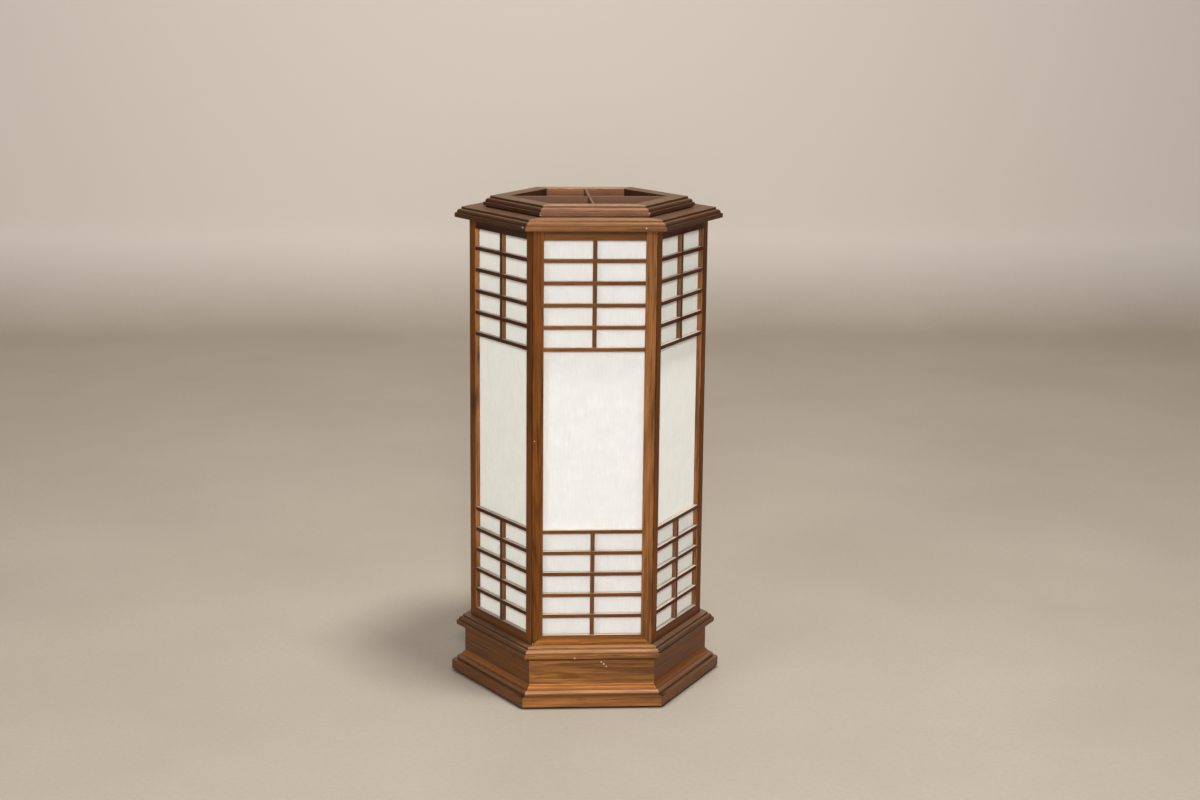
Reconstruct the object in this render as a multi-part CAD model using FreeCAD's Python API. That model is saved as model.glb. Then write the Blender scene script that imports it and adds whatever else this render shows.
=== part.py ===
import FreeCAD
import Part
import math
import os

# Six-sided table lamp: paper panels in hardwood frames, a moulded base and a loose moulded cap.
# Millimetres, +Z up. The origin is on the lamp's axis, on the surface that it stands on.
# The front panel faces -Y. "Face" values are distances from the axis square to a side.

V = FreeCAD.Vector

SIDE_NAMES = ("front", "front_right", "back_right", "back", "back_left", "front_left")
SIDE_TURN = 360.0 / len(SIDE_NAMES)
HALF_TURN = math.radians(SIDE_TURN / 2)
BACK_SIDE = SIDE_NAMES.index("back")

# Body: six framed panels, joined at mitred corners
BODY_CORNER = 140.0            # axis to an outside corner
STILE_WIDTH = 12.7
FRAME_THICKNESS = 12.7
TOP_RAIL_HEIGHT = 11.8
BOTTOM_RAIL_HEIGHT = 11.9
REBATE_WIDTH = 3.0             # how far the paper laps behind the frame
PAPER_SETBACK = 6.2            # frame face to paper face
PAPER_THICKNESS = 0.6
PAPER_PLAY = 0.15              # paper edge to rebate

# Lattice of thin bars, above and below the large sheet of paper
BAR_ROWS = 5
PANE_HEIGHT = 20.9
BAR_THICKNESS = 4.3
MULLION_WIDTH = 4.7
BAR_SETBACK = 0.3              # frame face to the front of a cross bar
MULLION_SETBACK = 0.6          # frame face to the front of the upright bar
PLAIN_HEIGHT = 208.6           # clear paper between the two lattices

# Thumbnail moulding, shared by the base, the cornice and the crown
FILLET_HEIGHT = 2.6
QUIRK_WIDTH = 1.1
THUMBNAIL_RADIUS = 3.6
THUMBNAIL_HEIGHT = 4.4         # round and the short upright under it
THUMBNAIL_STEP = 2.3           # flat from the round out to the lower edge

# Base
PAD_THICKNESS = 2.4
PAD_RADIUS = 10.0
FRIEZE_HEIGHT = 56.3
FRIEZE_THICKNESS = 12.7
FRIEZE_PROJECTION = 6.0        # frieze face beyond the body's face
LEDGE_THICKNESS = 12.3         # base moulding and cornice are of one stock
LEDGE_PROJECTION = 15.1        # moulding edge beyond the body's face
LEDGE_SEAT = 4.0               # base moulding, inwards past the panel frames
PLINTH_HEIGHT = 11.4
SKIRT_PROJECTION = 13.9        # plinth face beyond the frieze
SKIRT_STEP = 5.2               # flat on the plinth, in to the bead
SKIRT_BEAD_HEIGHT = 6.0
SKIRT_ROUND = 3.2              # top edge of the bead
SKIRT_FILLET = 0.8             # upright foot of each cove
LOWER_COVE = 2.4
UPPER_COVE = 2.0
BOARD_THICKNESS = 12.0
BOARD_PLAY = 0.2
BLOCK_LEG = 30.0               # corner block, along each board that it joins
BLOCK_FOOT = 12.0              # corner block, up from the frieze's lower edge

# Cord outlet in the back of the frieze
OUTLET_RISE = 36.0             # frieze's lower edge to the outlet's axis
OUTLET_RADIUS = 5.0
OUTLET_BORE = 3.6
OUTLET_FLANGE_RADIUS = 7.5
OUTLET_FLANGE = 2.0
OUTLET_TAIL = 3.0              # bushing beyond the frieze's inner face
OUTLET_PLAY = 0.1

# Cap: cornice, crown and the cross of slats in its opening
CROWN_FACE = 107.5
CROWN_WIDTH = 26.2
CROWN_THICKNESS = 12.7
CROWN_GAP_HEIGHT = 1.6         # shadow gap under the crown's edge
CROWN_GAP_DEPTH = 2.4
SLAT_THICKNESS = 3.2
SLAT_REST = 4.0                # cornice, inwards past the crown, under the slats' ends
SLAT_SINK = 0.3                # slats' top edges below the crown's
SLAT_PLAY = 0.1
CLEAT_LENGTH = 90.0
CLEAT_WIDTH = 12.0
CLEAT_DEPTH = 12.0
CLEAT_PLAY = 1.5               # cleat to the inside of the panel frames

# Lamp pipe and its fixings
PIPE_RADIUS = 5.15
PIPE_BORE = 3.8
PIPE_RISE = 100.0              # base board to lampholder
PIPE_TAIL = 12.0               # pipe below the base board
PIPE_ENTRY = 9.0               # pipe inside the lampholder
PIPE_PLAY = 0.05
BOARD_HOLE_PLAY = 0.4
NUT_FLATS = 16.0
NUT_HEIGHT = 5.0
WASHER_RADIUS = 15.0
WASHER_THICKNESS = 1.6

# Lampholder
HOLDER_RADIUS = 16.5
HOLDER_WALL = 0.9
HOLDER_NECK_RADIUS = 8.5
HOLDER_NECK = 7.0
HOLDER_SHOULDER = 14.0
HOLDER_CAP_HEIGHT = 22.0
HOLDER_SEAT_RADIUS = 12.0      # inner edge of the step that carries the insulator
SHELL_LAP = 6.0
SHELL_LENGTH = 46.0
SHELL_PLAY = 0.1
INSULATOR_HEIGHT = 20.0
INSULATOR_PLAY = 0.3
SCREW_SHELL_RADIUS = 14.0
SCREW_SHELL_WALL = 0.5
SCREW_SHELL_DEPTH = 23.0
CONTACT_RADIUS = 4.0
CONTACT_HEIGHT = 3.0
CONTACT_PLAY = 1.2

# Turn switch in the front of the lampholder
SWITCH_RISE = 10.0             # insulator's foot to the switch's axis
STEM_RADIUS = 2.0
STEM_PLAY = 0.3
STEM_ENTRY = 10.0              # stem inside the insulator
STEM_SOCKET = 7.0              # stem inside the knob
KNOB_RADIUS = 7.0
KNOB_LENGTH = 13.0
KNOB_STAND_OFF = 2.0           # lampholder shell to knob
KNOB_FLUTES = 12
FLUTE_RADIUS = 1.2
KNOB_EDGE = 0.8

# Bulb
BULB_CAP_PLAY = 0.3            # bulb cap to screw shell
BULB_CAP_HEIGHT = 25.0
BULB_TIP_RADIUS = 4.5
BULB_TIP_HEIGHT = 2.0
BULB_CONE_HEIGHT = 4.0
BULB_RADIUS = 30.0
BULB_NECK_RADIUS = 12.6
BULB_NECK_LENGTH = 6.0
BULB_FLARE = 40.0
BULB_WALL = 0.8

# Levels, from the floor up
base_foot = PAD_THICKNESS
frieze_top = base_foot + FRIEZE_HEIGHT
board_foot = frieze_top - BOARD_THICKNESS
panel_foot = frieze_top + LEDGE_THICKNESS
sight_foot = panel_foot + BOTTOM_RAIL_HEIGHT
bar_pitch = PANE_HEIGHT + BAR_THICKNESS
lattice_height = BAR_ROWS * bar_pitch
sight_top = sight_foot + 2 * lattice_height + PLAIN_HEIGHT
panel_top = sight_top + TOP_RAIL_HEIGHT
cornice_top = panel_top + LEDGE_THICKNESS
crown_top = cornice_top + CROWN_THICKNESS

# Distances from the axis
body_face = BODY_CORNER * math.cos(HALF_TURN)
body_inside = body_face - FRAME_THICKNESS
ledge_face = body_face + LEDGE_PROJECTION
frieze_face = body_face + FRIEZE_PROJECTION
frieze_inside = frieze_face - FRIEZE_THICKNESS
plinth_face = frieze_face + SKIRT_PROJECTION
crown_inside = CROWN_FACE - CROWN_WIDTH
cornice_inside = crown_inside - SLAT_REST
half_side = body_face * math.tan(HALF_TURN)
half_sight = half_side - STILE_WIDTH

# Lampholder levels
holder_foot = frieze_top + PIPE_RISE
insulator_foot = holder_foot + HOLDER_SHOULDER + HOLDER_WALL
insulator_top = insulator_foot + INSULATOR_HEIGHT
contact_top = insulator_top + CONTACT_HEIGHT
bulb_shoulder = contact_top + BULB_CAP_HEIGHT
switch_level = insulator_foot + SWITCH_RISE
insulator_radius = HOLDER_RADIUS - HOLDER_WALL - INSULATOR_PLAY
shell_bore = HOLDER_RADIUS + SHELL_PLAY
shell_radius = shell_bore + HOLDER_WALL


def on_side(shape, side):
    """Turn a copy of a shape on the front side to another side."""
    turned = shape.copy()
    turned.rotate(V(0, 0, 0), V(0, 0, 1), side * SIDE_TURN)
    return turned


def on_every_side(shape):
    """Repeat a shape of the front side on all sides, as separate solids."""
    return Part.makeCompound([on_side(shape, side) for side in range(len(SIDE_NAMES))])


def block(half_width, face, depths, levels, middle=0.0):
    """Box behind a face of the front side, centred across it."""
    size = V(2 * half_width, depths[1] - depths[0], levels[1] - levels[0])
    corner = V(middle - half_width, depths[0] - face, levels[0])
    return Part.makeBox(size.x, size.y, size.z, corner)


def prism(points, low, high):
    """Upright solid on a plan of straight edges."""
    corners = [V(x, y, low) for x, y in points]
    outline = Part.makePolygon(corners + corners[:1])
    return Part.Face(outline).extrude(V(0, 0, high - low))


def traced(start, moves, place):
    """Face from a start point and moves: one point is a line, two are an arc through the first."""
    edges = []
    here = place(start)
    for move in moves + [(start,)]:
        points = [place(point) for point in move]
        if len(points) == 1:
            edges.append(Part.makeLine(here, points[0]))
        else:
            edges.append(Part.Arc(here, points[0], points[1]).toShape())
        here = points[-1]
    return Part.Face(Part.Wire(edges))


def revolved(start, moves):
    """Solid of revolution about the lamp's axis, from radii and levels."""
    face = traced(start, moves, lambda point: V(point[0], 0, point[1]))
    return face.revolve(V(0, 0, 0), V(0, 0, 1), 360)


def on_arc(centre, radius, degrees):
    """Point of a profile at an angle round a centre."""
    angle = math.radians(degrees)
    return (centre[0] + radius * math.cos(angle), centre[1] + radius * math.sin(angle))


def sector(face, levels):
    """Plan wedge that one side takes, cut at the mitres on its two corners."""
    half = face * math.tan(HALF_TURN)
    return prism([(0, 0), (-half, -face), (half, -face)], levels[0], levels[1])


def mitred_length(start, moves, face, levels):
    """One length of moulding on the front side, mitred at both ends."""
    section = traced(start, moves, lambda point: V(0, -point[0], point[1]))
    half = face * math.tan(HALF_TURN)
    section.translate(V(-half, 0, 0))
    return section.extrude(V(2 * half, 0, 0)).common(sector(face, levels))


def thumbnail_length(face, inside, low, high, gap_depth=0.0, gap_height=0.0):
    """Mitred length with a fillet, a quirk, a round and a square edge, and a gap under it if given."""
    fillet_foot = high - FILLET_HEIGHT
    step_level = fillet_foot - THUMBNAIL_HEIGHT
    round_face = face - THUMBNAIL_STEP
    centre = (round_face - THUMBNAIL_RADIUS, fillet_foot - THUMBNAIL_RADIUS)
    moves = []
    if gap_height > 0:
        moves.append(((face - gap_depth, low),))
        moves.append(((face - gap_depth, low + gap_height),))
    moves.append(((face, low + gap_height),))
    moves.append(((face, step_level),))
    moves.append(((round_face, step_level),))
    moves.append(((round_face, centre[1]),))
    moves.append((on_arc(centre, THUMBNAIL_RADIUS, 45), (centre[0], fillet_foot)))
    moves.append(((centre[0] - QUIRK_WIDTH, fillet_foot),))
    moves.append(((centre[0] - QUIRK_WIDTH, high),))
    moves.append(((inside, high),))
    return mitred_length((inside, low), moves, face, (low, high))


def skirt_length():
    """Mitred length of the skirt: plinth, bead, and two small coves up to the frieze."""
    plinth_top = base_foot + PLINTH_HEIGHT
    bead_face = plinth_face - SKIRT_STEP
    bead_top = plinth_top + SKIRT_BEAD_HEIGHT
    round_centre = (bead_face - SKIRT_ROUND, bead_top - SKIRT_ROUND)
    lower_edge = frieze_face + UPPER_COVE + LOWER_COVE
    lower_centre = (lower_edge, bead_top + SKIRT_FILLET + LOWER_COVE)
    upper_edge = frieze_face + UPPER_COVE
    upper_foot = lower_centre[1] + SKIRT_FILLET
    upper_centre = (upper_edge, upper_foot + UPPER_COVE)
    moves = [
        ((plinth_face, base_foot),),
        ((plinth_face, plinth_top),),
        ((bead_face, plinth_top),),
        ((bead_face, round_centre[1]),),
        (on_arc(round_centre, SKIRT_ROUND, 45), (round_centre[0], bead_top)),
        ((lower_edge, bead_top),),
        ((lower_edge, bead_top + SKIRT_FILLET),),
        (on_arc(lower_centre, LOWER_COVE, 225), (upper_edge, lower_centre[1])),
        ((upper_edge, upper_foot),),
        (on_arc(upper_centre, UPPER_COVE, 225), (frieze_face, upper_centre[1])),
    ]
    return mitred_length((frieze_face, base_foot), moves, plinth_face, (base_foot, upper_centre[1]))


def panel_plan(levels):
    """Whole panel of the front side between its corner mitres, as a slab of the frame's thickness."""
    frame = block(half_side, body_face, (0, FRAME_THICKNESS), levels)
    return frame.common(sector(body_face, levels))


def mitre_wedge():
    """Space under the two bottom mitres of a panel, which rise at 45 degrees to the sight edge."""
    reach = half_sight + BOTTOM_RAIL_HEIGHT
    corners = [
        V(-reach, -body_face, panel_foot),
        V(reach, -body_face, panel_foot),
        V(half_sight, -body_face, sight_foot),
        V(-half_sight, -body_face, sight_foot),
    ]
    outline = Part.makePolygon(corners + corners[:1])
    return Part.Face(outline).extrude(V(0, FRAME_THICKNESS, 0))


def sight_and_rebate(top_levels, rebate_levels):
    """What a frame leaves open: the sight opening, and the wider rebate behind it."""
    sight = block(half_sight, body_face, (0, FRAME_THICKNESS), top_levels)
    rebate = block(half_sight + REBATE_WIDTH, body_face, (PAPER_SETBACK, FRAME_THICKNESS), rebate_levels)
    return sight.fuse(rebate)


def stile_pair():
    """Two upright stiles of a panel, cut by the corner mitres, the rebate and the bottom mitres."""
    whole = (panel_foot, panel_top)
    uprights = panel_plan(whole).cut(sight_and_rebate(whole, whole)).cut(mitre_wedge())
    return Part.makeCompound(uprights.Solids)


def bottom_rail():
    """Bottom rail, mitred into the stiles at 45 degrees and rebated behind for the paper."""
    levels = (panel_foot, sight_foot)
    rail = panel_plan(levels).common(mitre_wedge())
    rebate_levels = (sight_foot - REBATE_WIDTH, sight_foot)
    rebate = block(half_side, body_face, (PAPER_SETBACK, FRAME_THICKNESS), rebate_levels)
    return rail.cut(rebate)


def top_rail():
    """Top rail, butted between the stiles and lapped into their rebates behind."""
    front = block(half_sight, body_face, (0, PAPER_SETBACK), (sight_top, panel_top))
    rear_levels = (sight_top + REBATE_WIDTH, panel_top)
    rear_depths = (PAPER_SETBACK, FRAME_THICKNESS)
    rear = block(half_sight + REBATE_WIDTH, body_face, rear_depths, rear_levels)
    return front.fuse(rear).removeSplitter()


def lattice(low, bar_feet):
    """Cross bars half-lapped over one upright bar, which runs the height of the lattice."""
    lap_depth = (BAR_SETBACK + PAPER_SETBACK) / 2
    half_mullion = MULLION_WIDTH / 2
    levels = (low, low + lattice_height)
    mullion = block(half_mullion, body_face, (MULLION_SETBACK, PAPER_SETBACK), levels)
    bars = []
    for foot in bar_feet:
        bar_levels = (foot, foot + BAR_THICKNESS)
        bar = block(half_sight, body_face, (BAR_SETBACK, PAPER_SETBACK), bar_levels)
        bars.append(bar.cut(block(half_mullion, body_face, (lap_depth, PAPER_SETBACK), bar_levels)))
        mullion = mullion.cut(block(half_mullion, body_face, (MULLION_SETBACK, lap_depth), bar_levels))
    return Part.makeCompound(bars + [mullion])


def paper_sheet():
    """Paper panel, seated in the rebate against the backs of the lattice bars."""
    half = half_sight + REBATE_WIDTH - PAPER_PLAY
    levels = (sight_foot - REBATE_WIDTH + PAPER_PLAY, sight_top + REBATE_WIDTH - PAPER_PLAY)
    return block(half, body_face, (PAPER_SETBACK, PAPER_SETBACK + PAPER_THICKNESS), levels)


def felt_pads():
    """Round pads under the six corners of the base."""
    pads = []
    middle = (frieze_inside + plinth_face) / 2 / math.cos(HALF_TURN)
    for side in range(len(SIDE_NAMES)):
        angle = math.radians(side * SIDE_TURN)
        centre = V(middle * math.cos(angle), middle * math.sin(angle), 0)
        pads.append(Part.makeCylinder(PAD_RADIUS, PAD_THICKNESS, centre))
    return Part.makeCompound(pads)


def back_axis_cylinder(radius, near, far):
    """Cylinder along +Y at the cord outlet's level, between two distances from the lamp's axis."""
    start = V(0, near, base_foot + OUTLET_RISE)
    return Part.makeCylinder(radius, far - near, start, V(0, 1, 0))


def frieze_boards():
    """Six mitred boards, the back one bored for the cord outlet."""
    levels = (base_foot, frieze_top)
    outline = [((frieze_face, levels[0]),), ((frieze_face, levels[1]),), ((frieze_inside, levels[1]),)]
    board = mitred_length((frieze_inside, levels[0]), outline, frieze_face, levels)
    boards = [on_side(board, side) for side in range(len(SIDE_NAMES))]
    bore = back_axis_cylinder(OUTLET_RADIUS + OUTLET_PLAY, frieze_inside, frieze_face)
    boards[BACK_SIDE] = boards[BACK_SIDE].cut(bore)
    return Part.makeCompound(boards)


def outlet_bushing():
    """Flanged bushing through the back board, for the lamp's cord."""
    tail = frieze_inside - OUTLET_TAIL
    rim = frieze_face + OUTLET_FLANGE
    body = back_axis_cylinder(OUTLET_RADIUS, tail, frieze_face)
    flange = back_axis_cylinder(OUTLET_FLANGE_RADIUS, frieze_face, rim)
    return body.fuse(flange).cut(back_axis_cylinder(OUTLET_BORE, tail, rim))


def base_board():
    """Hexagonal board inside the frieze that carries the lamp pipe."""
    levels = (board_foot, frieze_top)
    board = on_every_side(sector(frieze_inside - BOARD_PLAY, levels))
    whole = board.Solids[0].multiFuse(board.Solids[1:]).removeSplitter()
    hole = Part.makeCylinder(PIPE_RADIUS + BOARD_HOLE_PLAY, BOARD_THICKNESS, V(0, 0, board_foot))
    return whole.cut(hole)


def corner_blocks():
    """Glue blocks in the inside corners of the frieze, which also carry the base board."""
    corner = frieze_inside / math.cos(HALF_TURN)
    across = BLOCK_LEG * math.cos(HALF_TURN)
    along = BLOCK_LEG * math.sin(HALF_TURN)
    plan = [(corner, 0), (corner - along, across), (corner - along, -across)]
    glue_block = prism(plan, base_foot + BLOCK_FOOT, board_foot)
    return on_every_side(glue_block)


def hexagon_hole(face, levels):
    """Six-sided upright solid with the same corners as the lamp."""
    wedges = on_every_side(sector(face, levels)).Solids
    return wedges[0].multiFuse(wedges[1:]).removeSplitter()


def slats():
    """Two slats that cross in the crown's opening, half-lapped at the middle, on the cornice's edge."""
    levels = (cornice_top, crown_top - SLAT_SINK)
    lap_level = (levels[0] + levels[1]) / 2
    opening = hexagon_hole(crown_inside - SLAT_PLAY, levels)
    reach = crown_inside / math.cos(HALF_TURN)
    half = SLAT_THICKNESS / 2
    height = levels[1] - levels[0]
    lengthwise = Part.makeBox(2 * reach, SLAT_THICKNESS, height, V(-reach, -half, levels[0]))
    crosswise = Part.makeBox(SLAT_THICKNESS, 2 * reach, height, V(-half, -reach, levels[0]))
    corner = V(-half, -half, lap_level)
    upper_lap = Part.makeBox(SLAT_THICKNESS, SLAT_THICKNESS, levels[1] - lap_level, corner)
    corner = V(-half, -half, levels[0])
    lower_lap = Part.makeBox(SLAT_THICKNESS, SLAT_THICKNESS, lap_level - levels[0], corner)
    return lengthwise.common(opening).cut(upper_lap), crosswise.common(opening).cut(lower_lap)


def locating_cleats():
    """Battens under the cornice that drop loosely inside the panel frames and keep the cap in place."""
    outer = body_inside - CLEAT_PLAY
    levels = (panel_top - CLEAT_DEPTH, panel_top)
    return on_every_side(block(CLEAT_LENGTH / 2, outer, (0, CLEAT_WIDTH), levels))


def lamp_pipe():
    """Hollow pipe from under the base board into the lampholder, for the wires."""
    low = board_foot - PIPE_TAIL
    length = holder_foot + PIPE_ENTRY - low
    pipe = Part.makeCylinder(PIPE_RADIUS, length, V(0, 0, low))
    return pipe.cut(Part.makeCylinder(PIPE_BORE, length, V(0, 0, low)))


def pipe_fixings():
    """Washers against both faces of the base board, and the hexagon nuts that clamp them."""
    hole = PIPE_RADIUS + PIPE_PLAY
    washers = []
    nuts = []
    washer_feet = (board_foot - WASHER_THICKNESS, frieze_top)
    nut_feet = (washer_feet[0] - NUT_HEIGHT, washer_feet[1] + WASHER_THICKNESS)
    for foot in washer_feet:
        disc = Part.makeCylinder(WASHER_RADIUS, WASHER_THICKNESS, V(0, 0, foot))
        washers.append(disc.cut(Part.makeCylinder(hole, WASHER_THICKNESS, V(0, 0, foot))))
    for foot in nut_feet:
        body = hexagon_hole(NUT_FLATS / 2, (foot, foot + NUT_HEIGHT))
        nuts.append(body.cut(Part.makeCylinder(hole, NUT_HEIGHT, V(0, 0, foot))))
    return Part.makeCompound(washers), Part.makeCompound(nuts)


def holder_cap():
    """Lower cup of the lampholder: neck on the pipe, shoulder, and a step that carries the insulator."""
    bore = PIPE_RADIUS + PIPE_PLAY
    neck_top = holder_foot + HOLDER_NECK
    rim = holder_foot + HOLDER_CAP_HEIGHT
    inner = HOLDER_RADIUS - HOLDER_WALL
    moves = [
        ((HOLDER_NECK_RADIUS, holder_foot),),
        ((HOLDER_NECK_RADIUS, neck_top),),
        ((HOLDER_RADIUS, holder_foot + HOLDER_SHOULDER),),
        ((HOLDER_RADIUS, rim),),
        ((inner, rim),),
        ((inner, insulator_foot),),
        ((HOLDER_SEAT_RADIUS, insulator_foot),),
        ((bore, neck_top),),
    ]
    return revolved((bore, holder_foot), moves)


def switch_cylinder(radius, near, far):
    """Cylinder towards the front at the switch's level, between two distances from the lamp's axis."""
    return Part.makeCylinder(radius, far - near, V(0, -near, switch_level), V(0, -1, 0))


def holder_shell():
    """Upper sleeve of the lampholder, slipped over the cap's rim, with a hole for the switch stem."""
    low = holder_foot + HOLDER_CAP_HEIGHT - SHELL_LAP
    sleeve = Part.makeCylinder(shell_radius, SHELL_LENGTH, V(0, 0, low))
    sleeve = sleeve.cut(Part.makeCylinder(shell_bore, SHELL_LENGTH, V(0, 0, low)))
    return sleeve.cut(switch_cylinder(STEM_RADIUS + STEM_PLAY, 0, shell_radius))


def insulator():
    """Moulded body that carries the screw shell, the contact and the switch stem."""
    body = Part.makeCylinder(insulator_radius, INSULATOR_HEIGHT, V(0, 0, insulator_foot))
    stem_end = insulator_radius - STEM_ENTRY
    return body.cut(switch_cylinder(STEM_RADIUS + STEM_PLAY, stem_end, insulator_radius))


def screw_shell():
    """Thin cup that the bulb's cap screws into, open round the centre contact."""
    inner = SCREW_SHELL_RADIUS - SCREW_SHELL_WALL
    floor = insulator_top + SCREW_SHELL_WALL
    rim = insulator_top + SCREW_SHELL_DEPTH
    hole = CONTACT_RADIUS + CONTACT_PLAY
    moves = [
        ((SCREW_SHELL_RADIUS, insulator_top),),
        ((SCREW_SHELL_RADIUS, rim),),
        ((inner, rim),),
        ((inner, floor),),
        ((hole, floor),),
    ]
    return revolved((hole, insulator_top), moves)


def centre_contact():
    """Contact stud under the bulb's tip."""
    return Part.makeCylinder(CONTACT_RADIUS, CONTACT_HEIGHT, V(0, 0, insulator_top))


def switch_pieces():
    """Switch stem, and the fluted knob on its outer end."""
    knob_near = shell_radius + KNOB_STAND_OFF
    knob_far = knob_near + KNOB_LENGTH
    stem_end = insulator_radius - STEM_ENTRY
    stem_far = knob_near + STEM_SOCKET
    stem = switch_cylinder(STEM_RADIUS, stem_end, stem_far)
    knob = switch_cylinder(KNOB_RADIUS, knob_near, knob_far)
    knob = knob.makeChamfer(KNOB_EDGE, [edge for edge in knob.Edges if len(edge.Vertexes) == 1])
    knob = knob.cut(switch_cylinder(STEM_RADIUS + PIPE_PLAY, knob_near, stem_far))
    flute = switch_cylinder(FLUTE_RADIUS, knob_near, knob_far)
    flute.translate(V(0, 0, KNOB_RADIUS))
    for index in range(KNOB_FLUTES):
        turned = flute.copy()
        turned.rotate(V(0, 0, switch_level), V(0, 1, 0), index * 360.0 / KNOB_FLUTES)
        knob = knob.cut(turned)
    return stem, knob


def bulb_cap():
    """Screw cap of the bulb, with its tip on the centre contact."""
    tip_top = contact_top + BULB_TIP_HEIGHT
    cone_top = tip_top + BULB_CONE_HEIGHT
    radius = SCREW_SHELL_RADIUS - SCREW_SHELL_WALL - BULB_CAP_PLAY
    moves = [
        ((BULB_TIP_RADIUS, contact_top),),
        ((BULB_TIP_RADIUS, tip_top),),
        ((radius, cone_top),),
        ((radius, bulb_shoulder),),
        ((0, bulb_shoulder),),
    ]
    return revolved((0, contact_top), moves)


def bulb_glass():
    """Blown bulb: a ball drawn through a hollow flare into a straight neck, of even wall."""
    neck_top = bulb_shoulder + BULB_NECK_LENGTH
    flare_reach = BULB_NECK_RADIUS + BULB_FLARE
    ball_rise = math.sqrt((BULB_RADIUS + BULB_FLARE) ** 2 - flare_reach ** 2)
    ball_centre = (0, neck_top + ball_rise)
    flare_centre = (flare_reach, neck_top)
    meeting = -math.degrees(math.atan2(ball_rise, flare_reach))
    ball_middle = (meeting + 90) / 2
    flare_end = meeting + 180
    flare_middle = (flare_end + 180) / 2
    ball_inner = BULB_RADIUS - BULB_WALL
    flare_inner = BULB_FLARE + BULB_WALL
    neck_inner = BULB_NECK_RADIUS - BULB_WALL
    moves = [
        ((BULB_NECK_RADIUS, neck_top),),
        (on_arc(flare_centre, BULB_FLARE, flare_middle), on_arc(flare_centre, BULB_FLARE, flare_end)),
        (on_arc(ball_centre, BULB_RADIUS, ball_middle), (0, ball_centre[1] + BULB_RADIUS)),
        ((0, ball_centre[1] + ball_inner),),
        (on_arc(ball_centre, ball_inner, ball_middle), on_arc(ball_centre, ball_inner, meeting)),
        (on_arc(flare_centre, flare_inner, flare_middle), (neck_inner, neck_top)),
        ((neck_inner, bulb_shoulder),),
    ]
    return revolved((BULB_NECK_RADIUS, bulb_shoulder), moves)


def save(name, shape):
    """Write one node of the lamp."""
    shape.exportStep("parts/" + name + ".step")


def build_panels():
    """Six panels: stiles, rails, lattices and paper, as nodes named for their side."""
    upper_low = sight_top - lattice_height
    upper_bars = [upper_low + row * bar_pitch for row in range(BAR_ROWS)]
    lower_bars = [sight_foot + PANE_HEIGHT + row * bar_pitch for row in range(BAR_ROWS)]
    pieces = {
        "stiles": stile_pair(),
        "top_rail": top_rail(),
        "bottom_rail": bottom_rail(),
        "upper_lattice": lattice(upper_low, upper_bars),
        "lower_lattice": lattice(sight_foot, lower_bars),
        "paper": paper_sheet(),
    }
    for side, side_name in enumerate(SIDE_NAMES):
        for piece_name, shape in pieces.items():
            save(piece_name + "_" + side_name, on_side(shape, side))


def build_base():
    """Base: pads, skirt, frieze, its board and blocks, the cord outlet and the base moulding."""
    ledge_inside = body_inside - LEDGE_SEAT
    save("felt_pads", felt_pads())
    save("skirt_moulding", on_every_side(skirt_length()))
    save("frieze_boards", frieze_boards())
    save("base_moulding", on_every_side(thumbnail_length(ledge_face, ledge_inside, frieze_top, panel_foot)))
    save("corner_blocks", corner_blocks())
    save("base_board", base_board())
    save("cord_bushing", outlet_bushing())


def build_cap():
    """Loose cap: cornice, crown, the cross of slats, and the cleats that locate it."""
    cornice = thumbnail_length(ledge_face, cornice_inside, panel_top, cornice_top)
    crown = thumbnail_length(
        CROWN_FACE, crown_inside, cornice_top, crown_top, CROWN_GAP_DEPTH, CROWN_GAP_HEIGHT
    )
    lengthwise, crosswise = slats()
    save("cornice_moulding", on_every_side(cornice))
    save("crown_moulding", on_every_side(crown))
    save("lengthwise_slat", lengthwise)
    save("crosswise_slat", crosswise)
    save("locating_cleats", locating_cleats())


def build_light():
    """Pipe, lampholder with its turn switch, and bulb."""
    washers, nuts = pipe_fixings()
    stem, knob = switch_pieces()
    save("lamp_pipe", lamp_pipe())
    save("pipe_washers", washers)
    save("pipe_nuts", nuts)
    save("holder_cap", holder_cap())
    save("holder_shell", holder_shell())
    save("holder_insulator", insulator())
    save("screw_shell", screw_shell())
    save("centre_contact", centre_contact())
    save("switch_stem", stem)
    save("switch_knob", knob)
    save("bulb_cap", bulb_cap())
    save("bulb_glass", bulb_glass())


os.makedirs("parts", exist_ok=True)
build_base()
build_panels()
build_cap()
build_light()
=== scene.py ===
"""Looks of a six-sided paper table lamp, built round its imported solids."""

import logging
import math
import random
from dataclasses import dataclass, field, replace
from enum import Enum
from functools import cache
from typing import Callable, Sequence, Union

import bmesh
import bpy
from mathutils import Matrix, Vector


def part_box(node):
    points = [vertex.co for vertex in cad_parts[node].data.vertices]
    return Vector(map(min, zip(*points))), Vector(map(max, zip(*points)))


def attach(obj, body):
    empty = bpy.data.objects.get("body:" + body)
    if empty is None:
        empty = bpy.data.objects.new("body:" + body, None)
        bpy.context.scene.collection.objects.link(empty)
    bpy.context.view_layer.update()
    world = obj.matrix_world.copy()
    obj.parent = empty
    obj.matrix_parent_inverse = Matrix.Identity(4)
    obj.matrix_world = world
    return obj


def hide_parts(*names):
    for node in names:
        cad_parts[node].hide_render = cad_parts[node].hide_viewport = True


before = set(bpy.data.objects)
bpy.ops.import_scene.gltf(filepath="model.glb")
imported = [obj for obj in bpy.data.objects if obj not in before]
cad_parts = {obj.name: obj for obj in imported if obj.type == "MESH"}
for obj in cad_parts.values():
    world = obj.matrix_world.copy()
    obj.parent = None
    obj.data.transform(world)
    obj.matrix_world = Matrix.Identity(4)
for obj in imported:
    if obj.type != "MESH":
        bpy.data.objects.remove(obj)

log = logging.getLogger("lamp")

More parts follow.
